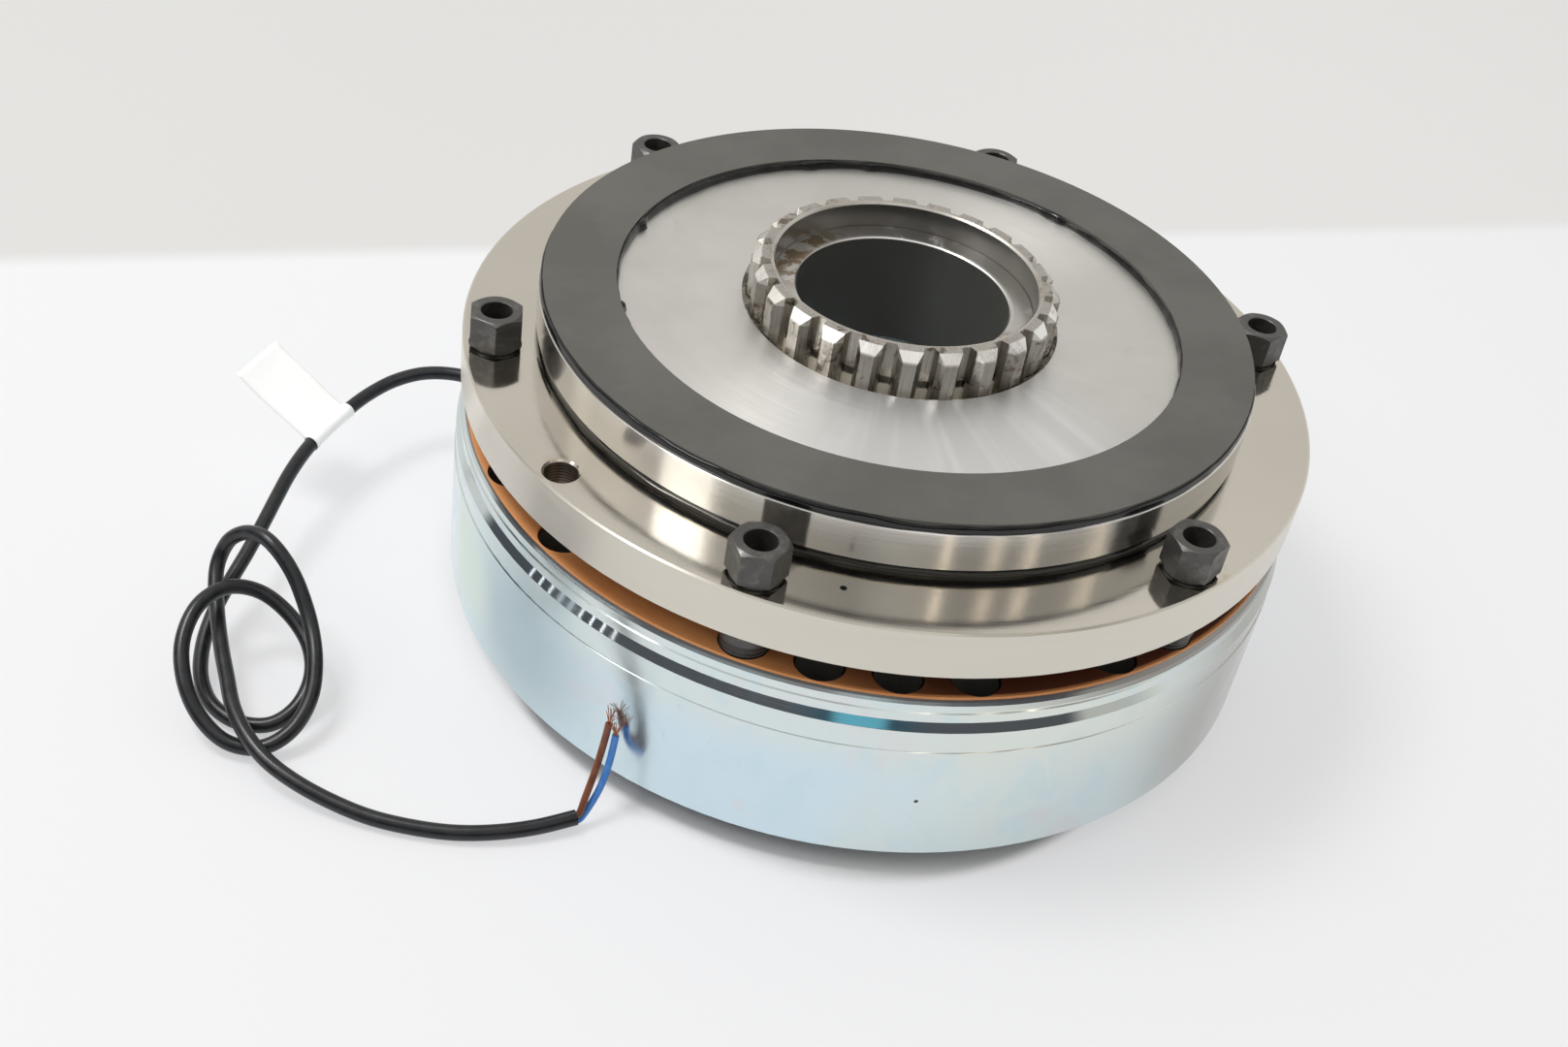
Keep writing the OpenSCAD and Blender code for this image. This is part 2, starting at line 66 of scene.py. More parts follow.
# Shader helpers
NOISE_SPAN = (0.3, 0.7)
TINT_SPAN = (0.35, 0.65)


class Graph:
    """A shader tree, with short ways to add nodes and join them."""

    def __init__(self, tree, place):
        self.tree = tree
        self.place = self.add("ShaderNodeTexCoord").outputs[place]

    def add(self, kind, **settings):
        made = self.tree.nodes.new(kind)
        for key, value in settings.items():
            setattr(made, key, value)
        return made

    def join(self, value, socket):
        """Links a socket's value, or sets a number, a vector or a colour."""
        if isinstance(value, bpy.types.NodeSocket):
            self.tree.links.new(value, socket)
        else:
            socket.default_value = (*value, 1.0) if socket.type == "RGBA" else value

    def math(self, operation, a, b=0.0, c=0.0):
        made = self.add("ShaderNodeMath", operation=operation)
        for value, socket in zip((a, b, c), made.inputs):
            self.join(value, socket)
        return made.outputs[0]

    def fold(self, operation, values):
        made = values[0]
        for value in values[1:]:
            made = self.math(operation, made, value)
        return made

    def times(self, *values):
        """Product of the values: of masks, where all of them hold."""
        return self.fold("MULTIPLY", values)

    def most(self, *values):
        """Largest of the values: of masks, where any of them holds."""
        return self.fold("MAXIMUM", values)

    def plus(self, base, share, amount):
        """The base with the amount added by its share."""
        return self.math("MULTIPLY_ADD", share, amount, base)

    def rest(self, share):
        return self.math("SUBTRACT", 1.0, share)

    def vector(self, operation, a, b=(0.0, 0.0, 0.0)):
        made = self.add("ShaderNodeVectorMath", operation=operation)
        self.join(a, made.inputs[0])
        self.join(b, made.inputs[1])
        return made.outputs["Value" if operation in ("DISTANCE", "DOT_PRODUCT") else "Vector"]

    def axes(self):
        made = self.add("ShaderNodeSeparateXYZ")
        self.join(self.place, made.inputs[0])
        return made.outputs[0], made.outputs[1], made.outputs[2]

    def radius(self):
        x, y, _ = self.axes()
        return self.math("SQRT", self.math("ADD", self.times(x, x), self.times(y, y)))

    def noise(self, scale, detail, roughness=0.5, at=None, lean=0.0):
        made = self.add("ShaderNodeTexNoise")
        self.join(self.place if at is None else at, made.inputs["Vector"])
        made.inputs["Scale"].default_value = scale
        made.inputs["Detail"].default_value = detail
        made.inputs["Roughness"].default_value = roughness
        made.inputs["Distortion"].default_value = lean
        return made.outputs["Fac"]

    def ringed(self, around, out, up, detail, roughness, lean=0.0):
        """Noise that follows the part's rings, with a scale each for angle, radius and height."""
        x, y, z = self.axes()
        made = self.add("ShaderNodeCombineXYZ")
        self.join(self.times(self.math("ARCTAN2", y, x), around), made.inputs[0])
        self.join(self.times(self.radius(), out), made.inputs[1])
        self.join(self.times(z, up), made.inputs[2])
        return self.noise(1.0, detail, roughness, made.outputs[0], lean)

    def ramp(self, value, low, high, start=0.0, end=1.0):
        """Value mapped from low..high to start..end, smoothly and held at the ends."""
        made = self.add("ShaderNodeMapRange", interpolation_type="SMOOTHSTEP")
        for key, part in (("Value", value), ("From Min", low), ("From Max", high),
                          ("To Min", start), ("To Max", end)):
            self.join(part, made.inputs[key])
        return made.outputs[0]

    def fall(self, value, low, high):
        """One below low, nothing above high."""
        return self.ramp(value, low, high, 1.0, 0.0)

    def within(self, value, rise, fall):
        """One between two edges, each given by where it starts and ends."""
        return self.times(self.ramp(value, *rise), self.fall(value, *fall))

    def patches(self, field, low, high, full=1.0):
        """Where a noise lies above low, in full above high."""
        return self.ramp(field, low, high, 0.0, full)

    def spread(self, field, start=0.0, end=1.0):
        """A noise brought to start..end."""
        return self.ramp(field, *NOISE_SPAN, start, end)

    def spot(self, place, inner, outer):
        """One near a place, falling to nothing at the outer distance (all in millimetres)."""
        away = self.vector("DISTANCE", self.place, tuple(v * MM for v in place))
        return self.fall(away, inner * MM, outer * MM)

    def mix(self, share, a, b):
        made = self.add("ShaderNodeMix", data_type="RGBA")
        for value, socket in zip((share, a, b), (made.inputs[i] for i in (0, 6, 7))):
            self.join(value, socket)
        return made.outputs[2]

    def layers(self, tint, *layers):
        """The tint with each colour laid over it by its share."""
        for share, colour in layers:
            tint = self.mix(share, tint, colour)
        return tint


class Look(Graph):
    """One material and its surface shader."""

    def __init__(self, name, **values):
        self.material = bpy.data.materials.new(name)
        self.material.use_nodes = True
        super().__init__(self.material.node_tree, "Object")
        self.shader = self.tree.nodes["Principled BSDF"]
        self.put(**values)

    def put(self, **values):
        for key, value in values.items():
            self.join(value, self.shader.inputs[key.replace("_", " ")])

    def bump(self, height, depth, strength):
        made = self.add("ShaderNodeBump")
        made.inputs["Distance"].default_value = depth
        made.inputs["Strength"].default_value = strength
        self.join(height, made.inputs["Height"])
        self.put(Normal=made.outputs[0])

    def turned(self, amount):
        """Draws the highlight out across the turning marks."""
        made = self.add("ShaderNodeTangent", direction_type="RADIAL", axis="Z")
        self.put(Tangent=made.outputs[0], Anisotropic=amount, Anisotropic_Rotation=0.25)


def dress(look, *names):
    for name in names:
        slots = nodes[name].data.materials
        slots.clear()
        slots.append(look.material)


# Looks. A pair with an upper-case name is where an edge starts and ends: a height or a radius in metres
# Zinc plated magnet body: pale blue with faint yellow and green drifts and fine scuffs
BODY_MIDDLE = (0.040, 0.058)
GROOVE_FOOT, GROOVE_ROOF = (0.0640, 0.0642), (0.0668, 0.0672)
RIM_FOOT, RIM_TOP = (0.0712, 0.0716), (0.0746, 0.0748)
POLE_IN, POLE_OUT, POLE_FACE = (0.1272, 0.1278), (0.1470, 0.1474), (0.0752, 0.0753)
zinc = Look("zinc")
height, radius = zinc.axes()[2], zinc.radius()
drift = zinc.ringed(1.4, 4.0, 9.0, detail=2.0, roughness=0.5, lean=0.6)
cloud = zinc.ringed(9.0, 20.0, 45.0, detail=4.0, roughness=0.6, lean=0.8)
blush = zinc.ringed(5.0, 8.0, 24.0, detail=3.0, roughness=0.6, lean=1.0)
stain = zinc.ringed(40.0, 200.0, 160.0, detail=5.0, roughness=0.7)
scuff = zinc.ringed(6.0, 800.0, 2600.0, detail=2.0, roughness=0.6)
# Painted shade: the wall turns grey towards the right front, for the shaded floor it reflects there
painted_shade_right = zinc.spot((119, -93, 30), inner=30, outer=80)
# Painted reflection: a darker slate patch low on the left of the wall
painted_reflection_left = zinc.spot((-133, -71, 36), inner=8, outer=50)
green_left = zinc.spot((-148, -31, 35), inner=8, outer=30)
# A tiny near-black dot on the front of the wall
dark_dot = zinc.spot((-13.7, -150.4, 34.0), inner=0.5, outer=0.9)
groove = zinc.within(height, GROOVE_FOOT, GROOVE_ROOF)
# Teal in the groove at the front: partly the plating's passivation colour, partly painted reflection
teal_and_reflection = zinc.times(groove, zinc.spot((-36, -145, 65), inner=4, outer=26))
worn = zinc.times(zinc.ramp(height, *RIM_FOOT), zinc.spot((100, -110, 73), inner=40, outer=125))
worn = zinc.most(worn, zinc.ramp(height, *RIM_TOP))
pocket = zinc.times(zinc.within(radius, POLE_IN, POLE_OUT), zinc.fall(height, *POLE_FACE))
tint = zinc.mix(zinc.ramp(height, *BODY_MIDDLE), (0.66, 0.80, 0.87), (0.72, 0.80, 0.80))
tint = zinc.layers(
    tint,
    (zinc.patches(drift, 0.46, 0.66, full=0.5), (0.78, 0.79, 0.69)),
    (zinc.patches(cloud, 0.5, 0.72, full=0.45), (0.58, 0.77, 0.84)),
    (zinc.patches(blush, 0.54, 0.7, full=0.5), (0.76, 0.72, 0.74)),
    (painted_shade_right, (0.47, 0.47, 0.44)),
    (painted_reflection_left, (0.45, 0.56, 0.60)),
    (green_left, (0.64, 0.75, 0.67)),
    (zinc.patches(stain, 0.62, 0.7, full=0.15), (0.48, 0.56, 0.58)),
    (teal_and_reflection, (0.24, 0.74, 0.90)),
    (worn, (0.30, 0.28, 0.26)),
    (pocket, (0.17, 0.165, 0.155)),
    (dark_dot, (0.08, 0.07, 0.06)))
polish = zinc.plus(zinc.spread(cloud, 0.12, 0.2), groove, -0.1)
dulled = zinc.plus(zinc.times(pocket, 0.6), worn, 0.26)
zinc.put(Base_Color=tint, Metallic=zinc.rest(pocket), Roughness=zinc.most(polish, dulled))
zinc.bump(scuff, depth=0.00004, strength=0.25)
zinc.turned(0.35)
dress(zinc, "coil_body")

# Ground and nickel plated armature plate, with rust specks on its face and painted shade in the release holes,
# whose thread is drawn as light and dark stripes
PLATE_SIDE, PLATE_FACE, HOLE_TOP = (0.1486, 0.1492), (0.1036, 0.1038), (0.1034, 0.1036)
HOLE_AT, HOLE_EDGE = (0.122976, 0.071, 0.0), (0.0058, 0.006)
HOLE_THREAD_RATE = 5600.0
nickel = Look("nickel", Metallic=1.0)
height = nickel.axes()[2]
grinding = nickel.ringed(3.0, 2600.0, 2600.0, detail=3.0, roughness=0.6)
cloud = nickel.noise(9.0, 3.0)
side = nickel.ramp(nickel.radius(), *PLATE_SIDE)
rust = nickel.most(nickel.spot((-123, -71, 104), inner=5, outer=10),
                   nickel.spot((74, -128, 104), inner=6, outer=15))
speck = nickel.patches(nickel.noise(120.0, 3.0, 0.6), 0.45, 0.65, full=0.45)
# Both release holes fall on one place once the signs of x and y are dropped
across = nickel.vector("MULTIPLY", nickel.vector("ABSOLUTE", nickel.place), (1.0, 1.0, 0.0))
hole = nickel.times(nickel.fall(nickel.vector("DISTANCE", across, HOLE_AT), *HOLE_EDGE),
                    nickel.fall(height, *HOLE_TOP))
# Painted shade in the release holes: darker inside, with the thread as light crests and dark roots
thread = nickel.math("SINE", nickel.times(height, HOLE_THREAD_RATE))
thread_light_and_shade = nickel.mix(nickel.ramp(thread, -0.6, 0.6), (0.20, 0.165, 0.13), (0.46, 0.41, 0.34))
dot = nickel.spot((-44, -127.6, 103.9), inner=0.9, outer=1.3)
tint = nickel.mix(nickel.ramp(cloud, *TINT_SPAN), (0.66, 0.62, 0.55), (0.72, 0.68, 0.61))
tint = nickel.layers(
    tint,
    (side, (0.72, 0.68, 0.60)),
    (nickel.times(rust, nickel.ramp(height, *PLATE_FACE), speck), (0.5, 0.40, 0.26)),
    (hole, thread_light_and_shade),
    (dot, (0.03, 0.03, 0.03)))
rough = nickel.plus(nickel.spread(grinding, 0.075, 0.14), side, 0.2)
nickel.put(Base_Color=tint, Roughness=nickel.plus(rough, hole, 0.25))
nickel.bump(grinding, depth=0.00002, strength=0.3)
nickel.turned(0.6)
dress(nickel, "armature_plate")

# Bright turned rotor disc, with painted highlight on its face at the front: paler there, with bright radial
# streaks
ROTOR_FACE = (0.1211, 0.1214)
steel = Look("bright_steel", Metallic=1.0)
lines = steel.ringed(2.0, 1800.0, 1800.0, detail=3.0, roughness=0.6)
cloud = steel.noise(14.0, 4.0, 0.6)
smear = steel.patches(steel.noise(60.0, 5.0, 0.65, lean=1.2), 0.6, 0.74, full=0.16)
highlight_streak = steel.patches(steel.ringed(9.0, 8.0, 0.0, detail=2.0, roughness=0.5, lean=0.5), 0.46, 0.72, full=0.6)
face = steel.ramp(steel.axes()[2], *ROTOR_FACE)
# Painted highlight: the face grows paler towards the front, with near-white radial streaks
highlight_front = steel.times(face, steel.spot((5, -82, 121.5), inner=15, outer=75))
tint = steel.mix(steel.ramp(cloud, *TINT_SPAN), (0.70, 0.685, 0.655), (0.78, 0.765, 0.735))
tint = steel.layers(
    tint,
    (smear, (0.55, 0.54, 0.52)),
    (steel.times(highlight_front, 0.75), (0.84, 0.855, 0.86)),
    (steel.times(highlight_front, highlight_streak), (0.99, 1.0, 1.0)))
dulled = steel.times(face, 0.18)
rough = steel.plus(steel.spread(lines, 0.15, 0.2), smear, 0.3)
steel.put(Base_Color=tint, Roughness=steel.math("ADD", rough, dulled))
steel.bump(lines, depth=0.00002, strength=0.2)
steel.turned(steel.math("SUBTRACT", 0.93, dulled))
dress(steel, "rotor_disc")

# Milled hub: painted highlight on the bevels of the teeth and on the bore's back edge, dark stains between the
# teeth, rust on the faces; painted shade on the recess wall, in a band across the tooth gaps and inside the
# bore, which is also dull; painted light in the gaps below that band
TEETH_ROOT, LAND_OUT = (0.0468, 0.0474), (0.0484, 0.0490)
BEVEL_IN, BEVEL_OUT, BEVEL_FOOT = (0.0504, 0.0508), (0.0532, 0.0536), (0.1330, 0.1333)
SHADOW_BAND_LOW, SHADOW_BAND_TOP, BRIGHT_PATCH_TOP = (0.1205, 0.1211), (0.1232, 0.1236), (0.1203, 0.1207)
RECESS_IN, RECESS_OUT, RECESS_TOP = (0.0455, 0.0457), (0.0461, 0.0463), (0.1356, 0.1360)
LEDGE_OUT, LEDGE_LOW, LEDGE_TOP = (0.0453, 0.0455), (0.1266, 0.1268), (0.1272, 0.1274)
BORE_EDGE, BORE_OUT, BORE_TOP = (0.0388, 0.0391), (0.0377, 0.0381), (0.1263, 0.1267)
hub = Look("hub_steel")
height, radius = hub.axes()[2], hub.radius()
teeth = hub.ramp(radius, *TEETH_ROOT)
lathe = hub.ringed(2.0, 1400.0, 1400.0, detail=3.0, roughness=0.6)
cutter = hub.ringed(140.0, 300.0, 60.0, detail=3.0, roughness=0.6)
mill = hub.plus(lathe, hub.math("SUBTRACT", cutter, lathe), teeth)
patch = hub.patches(hub.noise(75.0, 6.0, 0.7, lean=0.5), 0.53, 0.69)
grain = hub.patches(hub.noise(700.0, 4.0, 0.7), 0.42, 0.6)
rust = hub.times(patch, hub.plus(0.15, grain, 0.6))
# Painted highlight: near-white bevels on the teeth, for the bright sky they reflect
bevel = hub.times(teeth, hub.within(radius, BEVEL_IN, BEVEL_OUT), hub.ramp(height, *BEVEL_FOOT))
blot = hub.patches(hub.noise(170.0, 5.0, 0.65, lean=0.8), 0.56, 0.66, full=0.8)
land = hub.times(teeth, hub.fall(radius, *LAND_OUT))
# Painted shadow: a dark band across the root lands in the tooth gaps, near the rotor's face
foot_shadow = hub.times(land, hub.within(height, SHADOW_BAND_LOW, SHADOW_BAND_TOP), 0.85)
# Painted light: the root lands low in the gaps are pale and not metallic, for the bright patches there
lower = hub.times(land, hub.fall(height, *BRIGHT_PATCH_TOP))
# Painted shade: the recess wall is much darker than the ledge of the same turned steel
wall = hub.times(hub.within(radius, RECESS_IN, RECESS_OUT), hub.fall(height, *RECESS_TOP))
ledge = hub.times(hub.within(height, LEDGE_LOW, LEDGE_TOP), hub.fall(radius, *LEDGE_OUT))
stain = hub.most(hub.spot((-33, 25, 127), inner=12, outer=30), hub.spot((31, -28, 127), inner=1, outer=7))
stain = hub.times(ledge, stain, hub.patches(hub.noise(150.0, 5.0, 0.65), 0.42, 0.52, full=0.9))
# Painted highlight: a white line along the bore's edge at the back
edge = hub.times(ledge, hub.fall(radius, *BORE_EDGE), hub.spot((22, 31, 127), inner=25, outer=58))
# Painted shade: dark inside the bore
inside = hub.times(hub.fall(radius, *BORE_OUT), hub.fall(height, *BORE_TOP))
tint = hub.mix(hub.spread(mill), (0.50, 0.47, 0.42), (0.68, 0.65, 0.60))
tint = hub.layers(
    tint,
    (hub.times(teeth, 0.35), (0.26, 0.25, 0.23)),
    (bevel, (0.92, 0.90, 0.86)),
    (rust, (0.15, 0.09, 0.05)),
    (hub.times(blot, hub.math("SUBTRACT", teeth, bevel)), (0.11, 0.075, 0.05)),
    (foot_shadow, (0.05, 0.045, 0.038)),
    (lower, (0.90, 0.84, 0.72)),
    (wall, (0.27, 0.26, 0.245)),
    (ledge, (0.60, 0.58, 0.55)),
    (stain, (0.22, 0.15, 0.08)),
    (edge, (0.93, 0.93, 0.92)),
    (inside, (0.155, 0.153, 0.142)))
dulled = hub.most(hub.times(rust, 0.7), lower, hub.times(inside, 0.6))
even = hub.most(inside, wall, ledge)
uneven = hub.rest(even)
rough = hub.plus(hub.spread(mill, 0.24, 0.36), rust, 0.35)
hub.put(Base_Color=tint, Metallic=hub.rest(dulled),
        Roughness=hub.plus(hub.times(even, 0.3), rough, uneven))
hub.bump(hub.times(hub.plus(mill, rust, 0.6), uneven), depth=0.00005, strength=0.5)
dress(hub, "spline_hub")

# Black oxide hollow screws, a little paler where they are worn, with thread below the neck
THREAD_TOP, THREAD_RATE, THREAD_DEPTH = (0.0805, 0.0812), 4200.0, 8.0
black = Look("black_oxide", Metallic=0.7)
height = black.axes()[2]
wear = black.patches(black.noise(180.0, 5.0, 0.65), 0.5, 0.7, full=0.6)
thread = black.times(black.math("SINE", black.times(height, THREAD_RATE)), black.fall(height, *THREAD_TOP))
black.put(Base_Color=black.mix(wear, (0.108, 0.105, 0.1), (0.21, 0.2, 0.185)),
          Roughness=black.spread(black.noise(420.0, 3.0), 0.36, 0.5))
black.bump(black.plus(black.noise(900.0, 3.0), thread, THREAD_DEPTH), depth=0.00004, strength=0.6)
dress(black, "hollow_screws")

# Friction linings: ground dark grey with a fine grain
lining = Look("lining", Specular_IOR_Level=0.35)
grain = lining.noise(1900.0, 4.0, 0.7)
cloud = lining.noise(22.0, 4.0, 0.6)
tint = lining.mix(lining.ramp(cloud, 0.35, 0.68), (0.1, 0.098, 0.088), (0.122, 0.12, 0.109))
tint = lining.mix(lining.patches(grain, 0.56, 0.74, full=0.6), tint, (0.18, 0.175, 0.16))
lining.put(Base_Color=tint, Roughness=lining.spread(grain, 0.55, 0.72))
lining.bump(grain, depth=0.00008, strength=0.5)
dress(lining, "upper_lining", "lower_lining")

# Brown pressed fibre, with painted shadow of the armature plate inside its rim and away from its left end
SHADOW_LEFT, SHADOW_OUT = (-0.085, 0.0), (0.1460, 0.1473)
fibre = Look("fibre", Roughness=0.72, Specular_IOR_Level=0.3)
strand = fibre.noise(520.0, 5.0, 0.7, lean=1.5)
cloud = fibre.noise(30.0, 3.0)
# Painted shadow of the armature plate, deep red-brown on the fibre
plate_shadow = fibre.times(fibre.ramp(fibre.axes()[0], *SHADOW_LEFT), fibre.fall(fibre.radius(), *SHADOW_OUT), 0.95)
tint = fibre.mix(fibre.ramp(cloud, *TINT_SPAN), (0.70, 0.285, 0.10), (0.80, 0.35, 0.13))
tint = fibre.layers(
    tint,
    (fibre.patches(strand, 0.5, 0.75, full=0.5), (0.58, 0.22, 0.08)),
    (plate_shadow, (0.07, 0.012, 0.004)))
fibre.put(Base_Color=tint)
fibre.bump(strand, depth=0.0001, strength=0.4)
dress(fibre, "damping_disc")


def simple(name, low, high, scale, rough, depth, nodes_of=(), **values):
    """Two near colours in a fine noise, with the same noise in roughness and relief."""
    look = Look(name, **values)
    field = look.noise(scale, 4.0, 0.6)
    look.put(Base_Color=look.mix(look.ramp(field, *TINT_SPAN), low, high), Roughness=look.spread(field, *rough))
    look.bump(field, depth=depth, strength=0.5)
    dress(look, *nodes_of)
    return look


# Plain looks of the other pieces
sheath = simple("sheath", (0.008, 0.009, 0.011), (0.014, 0.015, 0.018), 240.0, (0.27, 0.36), 0.00003)
simple("rubber", (0.014, 0.014, 0.014), (0.024, 0.024, 0.023), 300.0, (0.5, 0.65), 0.00005,
       ("cable_grommet", "hub_o_ring"))
adhesive = simple("adhesive", (0.004, 0.004, 0.004), (0.01, 0.01, 0.01), 260.0, (0.05, 0.14), 0.0001)
# The paper glows faintly: painted light that makes the label brighter
paper = simple("paper", (0.97, 0.97, 0.965), (1.0, 1.0, 0.995), 500.0, (0.5, 0.6), 0.00003,
               Emission_Color=(1.0, 1.0, 0.99), Emission_Strength=0.15)
brown = simple("brown_insulation", (0.15, 0.045, 0.018), (0.21, 0.07, 0.03), 300.0, (0.32, 0.42), 0.00003)
blue = simple("blue_insulation", (0.05, 0.2, 0.6), (0.08, 0.27, 0.7), 300.0, (0.32, 0.42), 0.00003)
copper = simple("copper", (0.46, 0.18, 0.09), (0.62, 0.28, 0.15), 900.0, (0.25, 0.4), 0.00002,
                ("coil_winding",), Metallic=1.0)
spring_look = simple("spring", (0.13, 0.13, 0.135), (0.24, 0.24, 0.24), 350.0, (0.3, 0.45), 0.00003,
                     Metallic=0.9)
simple("potting", (0.02, 0.02, 0.02), (0.04, 0.04, 0.04), 90.0, (0.4, 0.55), 0.00008, ("potting_ring",))
simple("bobbin", (0.62, 0.6, 0.52), (0.7, 0.68, 0.6), 200.0, (0.5, 0.6), 0.00004, ("coil_bobbin",))


# Pieces made here
def placed(name, data, look, body):
    data.materials.append(look.material)
    piece = bpy.data.objects.new(name, data)
    scene.collection.objects.link(piece)
    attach(piece, body)
    return piece


def mesh_piece(name, points, faces, look, body):
    mesh = bpy.data.meshes.new(name)
    mesh.from_pydata([tuple(p) for p in points], [], faces)
    mesh.update()
    for polygon in mesh.polygons:
        polygon.use_smooth = True
    return placed(name, mesh, look, body)


def curve_piece(name, lines, radius, look, body, sides):
    """Round wires along lists of points."""
    data = bpy.data.curves.new(name, "CURVE")
    data.dimensions = "3D"
    data.bevel_depth = radius
    data.bevel_resolution = sides
    data.use_fill_caps = True
    for line in lines:
        spline = data.splines.new("POLY")
        spline.points.add(len(line) - 1)
        for point, place in zip(spline.points, line):
            point.co = (*place, 1.0)
        spline.use_smooth = True
    return placed(name, data, look, body)


def smooth_line(points, steps):
    """Smooth curve through points, with the given steps between neighbours."""
    p = np.array(points, float)
    p = np.vstack([p[:1], p, p[-1:]])
    line = []
    for i in range(1, len(p) - 2):
        a, b, c, d = p[i - 1:i + 3]
        slope, bend, twist = c - a, 2 * a - 5 * b + 4 * c - d, 3 * b - a - 3 * c + d
        for t in np.arange(steps) / steps:
            line.append(b + t * (slope + t * (bend + t * twist)) / 2)
    line.append(p[-1])
    return np.array(line)


def tube_rows(line, radius, sides):
    """Rings of points and faces of a closed round tube along a line."""
    line = np.array(line)
    ahead = np.gradient(line, axis=0)
    ahead /= np.linalg.norm(ahead, axis=1)[:, None]
    side = np.cross(ahead[0], (0.0, 0.0, 1.0) if abs(ahead[0][2]) < 0.9 else (1.0, 0.0, 0.0))
    points, faces = [], []
    for p, t in zip(line, ahead):
        side = side - (side @ t) * t
        side /= np.linalg.norm(side)
        other = np.cross(t, side)
        for k in range(sides):
            a = 2 * math.pi * k / sides
            points.append(p + radius * (math.cos(a) * side + math.sin(a) * other))
    for i in range(len(line) - 1):
        here, after = i * sides, (i + 1) * sides
        for k in range(sides):
            m = (k + 1) % sides
            faces.append((here + k, here + m, after + m, after + k))
    last = (len(line) - 1) * sides
    faces += [tuple(range(sides))[::-1], tuple(last + k for k in range(sides))]
    return points, faces


# Supply cable, on the route of the solid (millimetres)
CABLE_R, CABLE_SIDES, ROUTE_STEPS = 2.6, 8, 6
ROUTE = [
    (-129.9, 75, 32), (-133, 77, 32), (-145, 83, 32.5), (-158, 84, 32.5),
    (-170, 80, 31.5), (-180.5, 71.5, 30.5), (-189, 61.5, 29.5), (-196.5, 50.5, 29),
    (-203, 39.5, 28), (-208.5, 27.5, 26.5), (-213, 15.5, 24.5), (-217.5, 3.5, 22),
    (-222.5, -8.5, 19), (-228, -20, 15.5), (-233, -31.5, 11.5), (-236, -44, 8),
    (-236, -57, 5.5), (-232, -68.5, 4), (-223.5, -76.5, 3.5), (-213, -78.5, 4),
    (-204.5, -73, 6.5), (-200, -63, 10.5), (-201, -51.5, 14.5), (-207.5, -41.5, 19.5),
    (-217, -35.5, 24.5), (-227.5, -37, 28), (-236.5, -45.5, 27.5), (-241, -57.5, 22.5),
    (-240, -69.5, 16), (-235, -79.5, 9.5), (-226.5, -87, 5), (-215.5, -89.5, 4.5),
    (-206, -85.5, 8), (-200, -76.5, 13.5), (-198.5, -65.5, 19.5), (-200, -53.5, 25),
    (-203.5, -43.5, 32), (-207, -37.5, 37), (-211.5, -32, 41), (-216, -27, 42),
    (-221.5, -22, 39.5), (-226.5, -19.5, 35), (-229.5, -19.5, 30), (-231.5, -22.5, 25.5),
    (-232, -28, 22), (-231.5, -34.5, 19), (-230.5, -44, 17), (-229, -54.5, 15.5),
    (-227, -65.5, 14), (-224.5, -78.5, 12.5), (-220, -90, 11), (-213.5, -99.5, 9),
    (-204.5, -107.5, 7), (-193.5, -114.5, 5), (-181.5, -120.5, 3.5), (-168.5, -125, 3),
    (-155.5, -128, 3), (-142.5, -129, 3.5), (-129.5, -128, 4), (-116.5, -125, 4.5)]
cable_line = smooth_line(ROUTE, ROUTE_STEPS) * MM
cable = curve_piece("cable_sheath", [cable_line], CABLE_R * MM, sheath, "magnet", CABLE_SIDES)
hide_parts("cable")

# Cores and their frayed copper
CORE_R, CORE_SIDES = 1.2, 6
STRAND_R, STRAND_SIDES, STRANDS = 0.13, 2, 16
STRAND_CIRCLE, STRAND_ROOT, STRAND_STOPS = 0.9, 0.4, (0, 0.25, 0.5, 0.75, 1)
STRAND_OUT, STRAND_LENGTH = (0.1, 1.0), (3.6, 5.4)
STRAND_FLARE, STRAND_TWIST = (0.1, 0.5), (-0.3, 0.3)
BROWN = [(-116.5, -125, 5.75), (-115.3, -124.5, 6.2), (-113.6, -122, 10.5), (-111.2, -118.3, 15.8),
         (-109, -114.6, 21.5), (-107.5, -112.3, 27.5), (-106.6, -111.2, 33)]
BLUE = [(-116.5, -125, 3.25), (-114.9, -124.5, 3.5), (-112, -122.6, 7.2), (-108.8, -119.7, 12.2),
        (-106.4, -116.4, 17.8), (-105, -114, 23.5), (-104.3, -113, 29.3)]
WALL_R = 151.3 * MM


def clear_of_wall(p):
    """A point moved out to the body's wall where it would lie inside it."""
    out = max(1.0, WALL_R / p.xy.length)
    return Vector((p.x * out, p.y * out, p.z))


def core(name, route, look, seed):
    """One insulated core and the bared strands at its end."""
    line = smooth_line(route, ROUTE_STEPS) * MM
    piece = curve_piece(name, [line], CORE_R * MM, look, "magnet", CORE_SIDES)
    draw = random.Random(seed)
    ahead = Vector(line[-1] - line[-2]).normalized()
    side = ahead.orthogonal().normalized()
    wires = []
    for _ in range(STRANDS):
        a, out = draw.uniform(0, 2 * math.pi), draw.uniform(*STRAND_OUT)
        away = Matrix.Rotation(a, 3, ahead) @ side
        start = Vector(line[-1]) + away * out * STRAND_CIRCLE * MM - ahead * STRAND_ROOT * MM
        length = draw.uniform(*STRAND_LENGTH) * MM
        bend = away * draw.uniform(*STRAND_FLARE) + ahead.cross(away) * draw.uniform(*STRAND_TWIST)
        wires.append([clear_of_wall(start + ahead * length * t + bend * length * t * t)
                      for t in STRAND_STOPS])
    fray = curve_piece(name.replace("core", "fray"), wires, STRAND_R * MM, copper, "magnet",
                       STRAND_SIDES)
    return piece, fray


